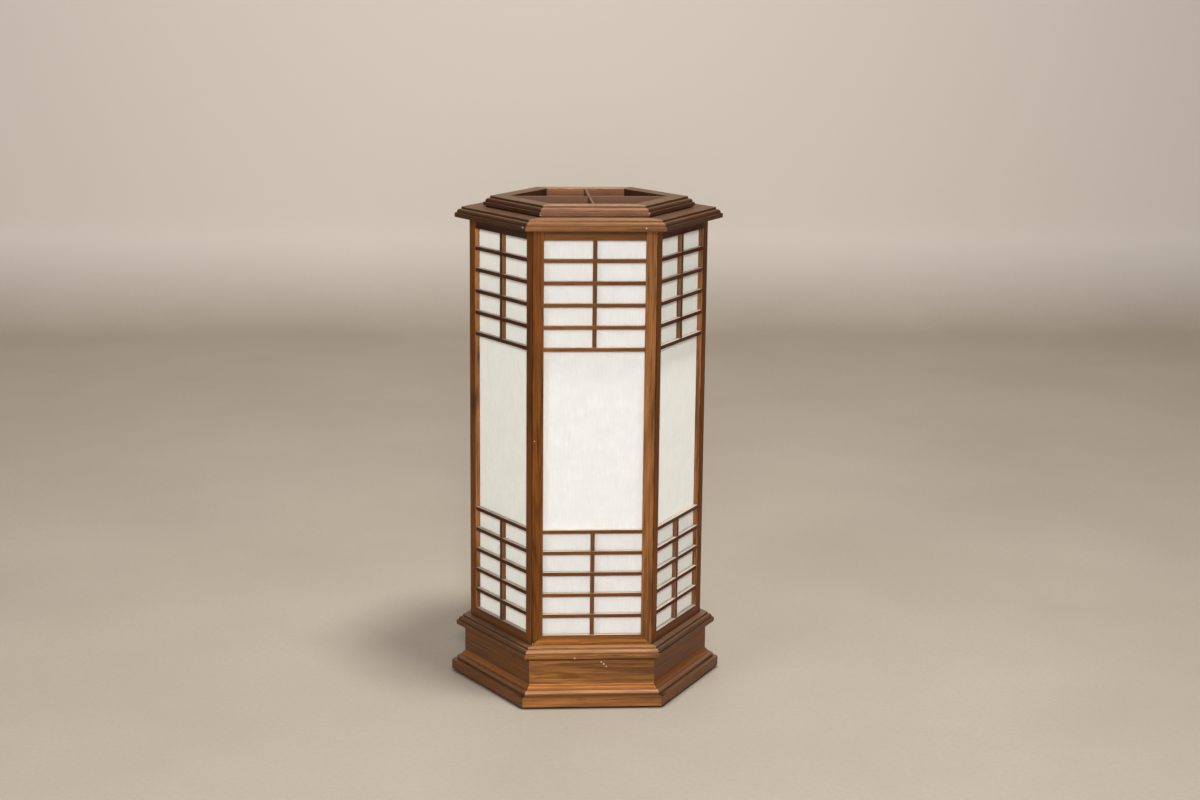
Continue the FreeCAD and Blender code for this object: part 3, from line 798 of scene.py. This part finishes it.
FLOOR = FloorFinish(
    name="pale_floor", pale=paint(184, 171, 154), paler=paint(192, 180, 163), speckle=paint(168, 155, 138),
    wall=paint(238, 227, 214), contact_shadow=paint(48, 38, 30),
)


def placed(name: str, shape: Shape, finish: Finish) -> Piece:
    """Make a smooth object of a shape, and free the shape.

    Args:
        name: Name of the object.
        shape: Its mesh, in place.
        finish: Its finish.

    Returns:
        The object.
    """
    for face in shape.faces:
        face.smooth = True
    mesh = bpy.data.meshes.new(name)
    shape.to_mesh(mesh)
    shape.free()
    mesh.materials.append(finish.material())
    piece = bpy.data.objects.new(name, mesh)
    bpy.context.scene.collection.objects.link(piece)
    return piece


def dress_node(node: str, finish: Finish) -> None:
    """Give a CAD node its finish.

    Args:
        node: Name of the node.
        finish: Its finish.
    """
    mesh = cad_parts[node].data
    mesh.materials.clear()
    mesh.materials.append(finish.material())


@dataclass
class WoodenNode:
    """One wooden CAD node, remade as separate pieces with eased edges and running grain."""

    node: str
    body: str
    finish: WoodFinish | PlainFinish
    solid_at: SolidFinder
    tones: dict[tuple[int, int], float] = field(default_factory=dict)
    tone: float = 0.5
    tone_spread: float = 0.12
    # Tone added to the side faces of upright pieces, which paints them lighter: painted highlight.
    reveal_highlight: float = 0.0
    reveal_limit: float = 0.8
    easing: float = 0.4 * MM
    sharp: float = math.radians(30)
    crease: float = math.radians(48)
    flat: float = math.radians(0.5)
    merge: float = 0.002 * MM
    depth: float = 0.2 * MM
    mitre_gap: float = 0.05 * MM
    mitre_start: float = 20 * MM
    mitre_lean: float = 0.01
    grain_shift: float = 2.0

    def build(self) -> Piece:
        """Merge, ease and dress the node.

        Returns:
            The piece that stands for the node.
        """
        shape = bmesh.new()
        shape.from_mesh(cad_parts[self.node].data)
        worn = self._ease(shape)
        runs, fibres, tones = self._grain(shape)
        piece = placed(self.node + "_wood", shape, self.finish)
        layers = (
            ("grain", "FLOAT_VECTOR", "POINT", "vector", runs),
            ("fibre", "FLOAT_VECTOR", "POINT", "vector", fibres),
            ("tone", "FLOAT", "FACE", "value", tones),
            ("arris", "FLOAT", "FACE", "value", worn),
        )
        for name, kind, domain, key, values in layers:
            piece.data.attributes.new(name, kind, domain).data.foreach_set(key, values)
        shading = piece.modifiers.new("flat_faces", "WEIGHTED_NORMAL")
        shading.keep_sharp = True
        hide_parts(self.node)
        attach(piece, self.body)
        return piece

    def _ease(self, shape: Shape) -> list[float]:
        """Merge the loose triangles of each solid and round its outer edges.

        Args:
            shape: Mesh of the node, which is changed.

        Returns:
            For each face, 1 on an eased edge and 0 elsewhere.
        """
        shape.normal_update()
        for verts in self._solids(shape).values():
            bmesh.ops.remove_doubles(shape, verts=verts, dist=self.merge)
        bmesh.ops.dissolve_limit(shape, angle_limit=self.flat, verts=shape.verts[:], edges=shape.edges[:])
        edges = [edge for edge in shape.edges if self._is_arris(edge)]
        eased = bmesh.ops.bevel(
            shape, geom=edges, offset=self.easing, offset_type="OFFSET", segments=2, profile=0.5,
            affect="EDGES", material=-1, clamp_overlap=True,
        )
        for edge in shape.edges:
            edge.smooth = edge.is_manifold and edge.calc_face_angle(0) < self.crease
        shape.normal_update()
        arris = set(eased["faces"])
        return [1.0 if face in arris else 0.0 for face in shape.faces]

    def _is_arris(self, edge: bmesh.types.BMEdge) -> bool:
        """Tell the sharp outer edges from the others.

        Args:
            edge: Edge of a merged solid.

        Returns:
            Whether it is sharp and convex, and not part of a tight joint.
        """
        if not edge.is_manifold or not edge.is_convex:
            return False
        if edge.calc_face_angle(0) < self.sharp:
            return False
        return not any(self._is_mitre(face) for face in edge.link_faces)

    def _is_mitre(self, face: Face) -> bool:
        """Tell the faces of mitre joints from the others.

        Args:
            face: Face of a merged solid.

        Returns:
            Whether it lies in an upright plane through the lamp's axis, away from the axis itself.
        """
        if abs(face.normal.z) > self.mitre_lean:
            return False
        centre = face.calc_center_median()
        off_axis = abs(centre.x * face.normal.x + centre.y * face.normal.y)
        return off_axis < self.mitre_gap and centre.length > self.mitre_start

    def _solid_of(self, face: Face) -> Solid:
        """Solid that a face belongs to, by a point just inside it."""
        return self.solid_at(face.calc_center_median() - face.normal * self.depth)

    def _solids(self, shape: Shape) -> dict[Solid, list[Vert]]:
        """Tell the separate solids apart.

        Args:
            shape: Mesh of the node.

        Returns:
            The vertices of each solid.
        """
        found: dict[Solid, dict[Vert, None]] = {}
        for face in shape.faces:
            found.setdefault(self._solid_of(face), {}).update(dict.fromkeys(face.verts))
        return {solid: list(verts) for solid, verts in found.items()}

    def _grain(self, shape: Shape) -> tuple[list[float], list[float], list[float]]:
        """Lay the grain of each solid.

        Args:
            shape: Finished mesh.

        Returns:
            Three coordinates for each vertex, with X along the grain, three components of the way that
            the fibres run there, and one tone for each face.
        """
        shape.verts.index_update()
        runs = [0.0] * (3 * len(shape.verts))
        fibres = [0.0] * (3 * len(shape.verts))
        tone_of = {}
        for solid, verts in self._solids(shape).items():
            side, number, run = solid
            chance = random.Random(f"{self.node} {side} {number} {run.name}")
            shift = Vector([chance.uniform(-self.grain_shift, self.grain_shift) for _ in range(3)])
            change = chance.uniform(-self.tone_spread, self.tone_spread)
            tone_of[solid] = self.tones.get((side, number), self.tone) + change
            lay = run.axes() @ Matrix.Rotation(-side * SIDE_TURN, 3, "Z")
            fibre = lay.transposed() @ Vector((1, 0, 0))
            for vert in verts:
                runs[3 * vert.index:3 * vert.index + 3] = lay @ vert.co + shift
                fibres[3 * vert.index:3 * vert.index + 3] = fibre
        tones = []
        for face in shape.faces:
            solid = self._solid_of(face)
            across = Matrix.Rotation(solid[0] * SIDE_TURN, 3, "Z") @ Vector((1, 0, 0))
            # Side faces of upright pieces take the extra tone of painted highlight.
            is_reveal = solid[2] is Run.UPRIGHT and abs(face.normal.dot(across)) > self.reveal_limit
            tones.append(tone_of[solid] + self.reveal_highlight * is_reveal)
        return runs, fibres, tones


def ring_length(point: Vector) -> Solid:
    """Solid of a ring of mitred lengths, one on each side of the lamp."""
    side = round((math.atan2(point.y, point.x) + math.pi / 2) / SIDE_TURN) % len(SIDES)
    return (side, 0, Run.ALONG_SIDE)


def corner_piece(point: Vector) -> Solid:
    """Solid of a set of upright pieces in the corners."""
    return (round(math.atan2(point.y, point.x) / SIDE_TURN) % len(SIDES), 0, Run.UPRIGHT)


def single(run: Run, side: int = 0) -> SolidFinder:
    """Finder for a node that is one solid."""
    return lambda point: (side, 0, run)


@dataclass
class Panels:
    """Six framed panels: stiles, rails, lattices and paper."""

    body: str = "lamp_body"
    bar_pitch: float = 25.2 * MM
    bar: float = 4.3 * MM
    half_mullion: float = 2.35 * MM
    lap_depth: float = 3.25 * MM
    face: float = 140 * MM * math.cos(SIDE_TURN / 2)
    upright: int = 99
    # The front's upright and the front right's are painted lighter than the other sides' uprights: painted
    # highlight.
    lit_upright_tones: dict[int, float] = field(default_factory=lambda: {0: 1.2, 1: 0.6})
    bar_tone: float = 0.25
    # Extra tone that paints the uprights' side faces lighter: painted highlight.
    bar_reveal_highlight: float = 1.9
    bar_easing: float = 0.3 * MM
    stile_tone: float = 0.35
    # The front's two stiles are painted lighter than the other sides' stiles, the right one more: painted
    # highlight.
    lit_front_stile_tones: dict[tuple[int, int], float] = field(default_factory=lambda: {(0, 0): 0.6, (0, 1): 1.1})
    # Extra tone that paints the stiles' side faces lighter: painted highlight.
    stile_reveal_highlight: float = 1.0

    def build(self) -> list[Piece]:
        """Dress every panel.

        Returns:
            The wooden pieces.
        """
        pieces = []
        for side, name in enumerate(SIDES):
            stiles = WoodenNode(
                f"stiles_{name}", self.body, STILE_WOOD, self._stile_solid(side),
                tones=self.lit_front_stile_tones, tone=self.stile_tone, reveal_highlight=self.stile_reveal_highlight,
            )
            pieces.append(stiles.build())
            for part, finish in (("top_rail", SHADED_TOP_RAIL_WOOD), ("bottom_rail", LIT_BOTTOM_RAIL_WOOD)):
                rail = WoodenNode(f"{part}_{name}", self.body, finish, single(Run.ALONG_SIDE, side))
                pieces.append(rail.build())
            tones = {(side, self.upright): self.lit_upright_tones.get(side, self.bar_tone)}
            for part in ("upper_lattice", "lower_lattice"):
                node = f"{part}_{name}"
                lattice = WoodenNode(
                    node, self.body, LATTICE_WOOD, self._lattice_solid(side, node, part == "upper_lattice"),
                    tones=tones, tone=self.bar_tone, reveal_highlight=self.bar_reveal_highlight, easing=self.bar_easing,
                )
                pieces.append(lattice.build())
            # The front takes the paper; the other sides take its darker copy, which is painted shade.
            dress_node(f"paper_{name}", SHADED_SIDE_PAPER if side else PAPER)
        return pieces

    @staticmethod
    def _stile_solid(side: int) -> SolidFinder:
        """Finder for a side's stiles: the left one is number 0 and the right one number 1."""
        turn = Matrix.Rotation(-side * SIDE_TURN, 3, "Z")
        return lambda point: (side, int((turn @ point).x > 0), Run.UPRIGHT)

    def _lattice_solid(self, side: int, node: str, upper: bool) -> SolidFinder:
        """Finder for a lattice.

        Args:
            side: Number of the panel's side.
            node: Name of the lattice.
            upper: Whether it is the upper one, which has a bar at its foot.

        Returns:
            A function from a point to one of the bars, or to the upright that they lap over.
        """
        turn = Matrix.Rotation(-side * SIDE_TURN, 3, "Z")
        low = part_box(node)[0].z
        first = low if upper else low + self.bar_pitch - self.bar

        def solid_at(point: Vector) -> Solid:
            """Find the solid of a face.

            Args:
                point: Point just inside the face.

            Returns:
                The solid.
            """
            local = turn @ point
            row = math.floor((local.z - first) / self.bar_pitch)
            in_bar = row >= 0 and local.z - first - row * self.bar_pitch < self.bar
            behind = local.y + self.face > self.lap_depth
            if abs(local.x) < self.half_mullion and (behind or not in_bar):
                return (side, self.upright, Run.UPRIGHT)
            return (side, row, Run.ALONG_SIDE)

        return solid_at


@dataclass
class Base:
    """Pads, skirt, frieze, base moulding and what is inside them."""

    body: str = "lamp_body"

    def build(self) -> list[Piece]:
        """Dress the base.

        Returns:
            The wooden pieces.
        """
        dress_node("felt_pads", FELT)
        dress_node("cord_bushing", BUSHING)
        parts = (
            ("frieze_boards", BASE_WOOD, ring_length),
            ("base_moulding", BASE_WOOD, ring_length),
            ("skirt_moulding", SKIRT_WOOD, ring_length),
            ("corner_blocks", INNER_WOOD, corner_piece),
            ("base_board", INNER_WOOD, single(Run.LENGTHWISE)),
        )
        return [WoodenNode(node, self.body, finish, solid_at).build() for node, finish, solid_at in parts]


@dataclass
class Cap:
    """Loose cap: cornice, crown, cross of slats and cleats."""

    body: str = "cap"
    slat_easing: float = 0.3 * MM

    def build(self) -> list[Piece]:
        """Dress the cap.

        Returns:
            The wooden pieces.
        """
        nodes = [
            WoodenNode("cornice_moulding", self.body, CAP_WOOD, ring_length),
            WoodenNode("crown_moulding", self.body, CROWN_WOOD, ring_length),
        ]
        for name, run in (("lengthwise_slat", Run.LENGTHWISE), ("crosswise_slat", Run.CROSSWISE)):
            nodes.append(WoodenNode(name, self.body, SLAT_WOOD, single(run), easing=self.slat_easing))
        nodes.append(WoodenNode("locating_cleats", self.body, INNER_WOOD, ring_length))
        return [node.build() for node in nodes]


def spun(outline: Sequence[Point], turns: int, facets: int, pitch: float = 0.0) -> Shape:
    """Turn a closed outline round the lamp's axis.

    Args:
        outline: Corners of the outline, in order.
        turns: Number of whole turns.
        facets: Number of steps in a turn.
        pitch: Rise in a turn.

    Returns:
        The turned shape.
    """
    shape = bmesh.new()
    last = bmesh.ops.create_vert(shape, co=outline[0])["vert"]
    for point in (*outline[1:], outline[0]):
        last = bmesh.ops.extrude_vert_indiv(shape, verts=last)["verts"]
        last[0].co = point
    bmesh.ops.remove_doubles(shape, verts=shape.verts[:], dist=0.01 * MM)
    bmesh.ops.spin(
        shape, geom=shape.verts[:] + shape.edges[:], cent=(0, 0, 0), axis=(0, 0, 1),
        dvec=(0, 0, pitch / facets), angle=math.tau * turns, steps=facets * turns, use_merge=not pitch,
    )
    bmesh.ops.holes_fill(shape, edges=[edge for edge in shape.edges if edge.is_boundary], sides=0)
    bmesh.ops.recalc_face_normals(shape, faces=shape.faces[:])
    return shape


@dataclass
class Light:
    """Pipe, lampholder, switch and bulb."""

    body: str = "lamp_body"
    thread_pitch: float = 1.6 * MM
    thread_width: float = 1.28 * MM
    thread_rise: float = 0.3 * MM
    thread_sink: float = 0.1 * MM
    thread_facets: int = 16
    thread_margin: float = 0.6 * MM
    bead: float = 0.7 * MM
    bead_inset: float = 1.2 * MM
    bead_step: int = 30
    facets: int = 48

    def build(self) -> list[Piece]:
        """Dress the lampholder and the bulb, and add the pipe's thread and the holder's rolled beads.

        Returns:
            The new pieces.
        """
        dressed = (
            (STEEL, ("lamp_pipe", "pipe_washers", "pipe_nuts")),
            (BRASS, ("holder_cap", "holder_shell", "screw_shell", "centre_contact", "switch_stem")),
            (INSULATION, ("holder_insulator",)),
            (KNOB, ("switch_knob",)),
            (BULB_METAL, ("bulb_cap",)),
            (BULB_GLASS, ("bulb_glass",)),
        )
        for finish, nodes in dressed:
            for node in nodes:
                dress_node(node, finish)
        low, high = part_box("holder_shell")
        added = (
            ("pipe_thread", self._thread(), STEEL),
            ("holder_lower_bead", self._bead(high.x, low.z + self.bead_inset), BRASS),
            ("holder_rim_bead", self._bead(high.x, high.z - self.bead), BRASS),
        )
        pieces = []
        for name, shape, finish in added:
            piece = placed(name, shape, finish)
            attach(piece, self.body)
            pieces.append(piece)
        return pieces

    def _thread(self) -> Shape:
        """Model the rolled thread on the bare length of the pipe.

        Returns:
            A ridge that winds up from the upper nut to the lampholder.
        """
        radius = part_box("lamp_pipe")[1].x
        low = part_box("pipe_nuts")[1].z + self.thread_margin
        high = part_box("holder_cap")[0].z - self.thread_margin
        turns = math.floor((high - low) / self.thread_pitch) - 1
        foot, crest = radius - self.thread_sink, radius + self.thread_rise
        middle, top = low + self.thread_width / 2, low + self.thread_width
        ridge = [(foot, 0, low), (crest, 0, middle), (foot, 0, top)]
        return spun(ridge, turns, self.thread_facets, self.thread_pitch)

    def _bead(self, radius: float, level: float) -> Shape:
        """Model a round bead that is rolled into the lampholder's sleeve.

        Args:
            radius: Radius of the sleeve.
            level: Height of the bead's middle.

        Returns:
            The ring.
        """
        outline = []
        for step in range(0, 360, self.bead_step):
            angle = math.radians(step)
            outline.append((radius + self.bead * math.cos(angle), 0, level + self.bead * math.sin(angle)))
        return spun(outline, 1, self.facets)


@dataclass(frozen=True)
class SoftLight:
    """Square soft light aimed at a point: places and size in metres, power in watts."""

    name: str
    place: Point
    size: float
    power: float
    target: Point = (0, 0, 0.3)
    spread: float = math.radians(180)

    def build(self) -> None:
        """Make the light."""
        lamp = bpy.data.lights.new(self.name, "AREA")
        lamp.size = self.size
        lamp.energy = self.power
        lamp.spread = self.spread
        item = bpy.data.objects.new(self.name, lamp)
        item.location = self.place
        item.rotation_mode = "QUATERNION"
        item.rotation_quaternion = (Vector(self.target) - Vector(self.place)).to_track_quat("-Z", "Y")
        bpy.context.scene.collection.objects.link(item)


LIGHTS = (
    SoftLight("front_light", (-0.1, -2.97, 1.555), 0.3, 32),
    SoftLight("fill_light", (-0.14, -2.9, 0.9), 0.6, 4.1, target=(0, 0, 0.5), spread=math.radians(80)),
    SoftLight("left_light", (-2.1, -2.2, 2.0), 0.7, 17),
    SoftLight("top_light", (0.38, -0.42, 2.6), 0.45, 42),
    SoftLight("wall_light", (0.0, 0.9, 2.4), 1.5, 9, target=(0, 2.55, 0.7)),
)


@dataclass
class Studio:
    """Floor, backdrop, lights and camera."""

    place: Point = (-0.1417, -2.3828, 0.8404)
    azimuth: float = math.radians(-3.757)
    pitch: float = math.radians(11.922)
    roll: float = math.radians(0.564)
    lens: float = 61.29
    sensor: float = 36.0
    floor_reach: float = 4.0
    wall: float = 2.55
    wall_height: float = 3.0
    sweep: float = 0.25
    sweep_steps: int = 8
    surround: float = 0.15

    def build(self) -> None:
        """Make the stage, an even surround, the lights and the camera."""
        floor = placed("floor", self._floor(), FLOOR)
        world = bpy.data.worlds.new("surround")
        bpy.context.scene.world = world
        world.use_nodes = True
        background = world.node_tree.nodes["Background"]
        background.inputs["Color"].default_value = (1, 1, 1, 1)
        background.inputs["Strength"].default_value = self.surround
        for light in LIGHTS:
            light.build()
        self._camera()

    def _floor(self) -> Shape:
        """Model a floor that sweeps up into a wall.

        Returns:
            The open sheet, drawn back from its front edge.
        """
        shape = bmesh.new()
        corner = bmesh.ops.create_vert(shape, co=(-self.floor_reach, -self.floor_reach, 0))["vert"]
        other = bmesh.ops.extrude_vert_indiv(shape, verts=corner)["verts"]
        other[0].co = (self.floor_reach, -self.floor_reach, 0)
        front = shape.edges[:]
        path = [(self.wall - self.sweep, 0.0)]
        for step in range(1, self.sweep_steps + 1):
            angle = math.radians(90 * step / self.sweep_steps)
            path.append((self.wall - self.sweep * (1 - math.sin(angle)), self.sweep * (1 - math.cos(angle))))
        path.append((self.wall, self.wall_height))
        last = (-self.floor_reach, 0.0)
        for y, z in path:
            moved = bmesh.ops.extrude_edge_only(shape, edges=front)["geom"]
            verts = [item for item in moved if isinstance(item, Vert)]
            front = [item for item in moved if isinstance(item, bmesh.types.BMEdge)]
            bmesh.ops.translate(shape, verts=verts, vec=(0, y - last[0], z - last[1]))
            last = (y, z)
        bmesh.ops.recalc_face_normals(shape, faces=shape.faces[:])
        return shape

    def _camera(self) -> None:
        """Camera at the photograph's viewing angle."""
        forward = Vector((
            -math.sin(self.azimuth) * math.cos(self.pitch),
            math.cos(self.azimuth) * math.cos(self.pitch),
            -math.sin(self.pitch),
        ))
        level = Vector((math.cos(self.azimuth), math.sin(self.azimuth), 0))
        above = level.cross(forward)
        right = level * math.cos(self.roll) + above * math.sin(self.roll)
        up = above * math.cos(self.roll) - level * math.sin(self.roll)
        data = bpy.data.cameras.new("camera")
        data.sensor_width = self.sensor
        data.lens = self.lens
        camera = bpy.data.objects.new("camera", data)
        turn = Matrix((right, up, -forward)).transposed()
        camera.matrix_world = Matrix.Translation(self.place) @ turn.to_4x4()
        bpy.context.scene.collection.objects.link(camera)
        bpy.context.scene.camera = camera


def main() -> None:
    """Build the lamp's looks in order and note its sizes."""
    logging.basicConfig(level=logging.INFO)
    bpy.context.scene.view_settings.view_transform = "Standard"
    pieces = Panels().build() + Base().build() + Cap().build() + Light().build()
    Studio().build()
    for piece in pieces:
        log.info("%s: %d faces", piece.name, len(piece.data.polygons))


if __name__ == "__main__":
    main()
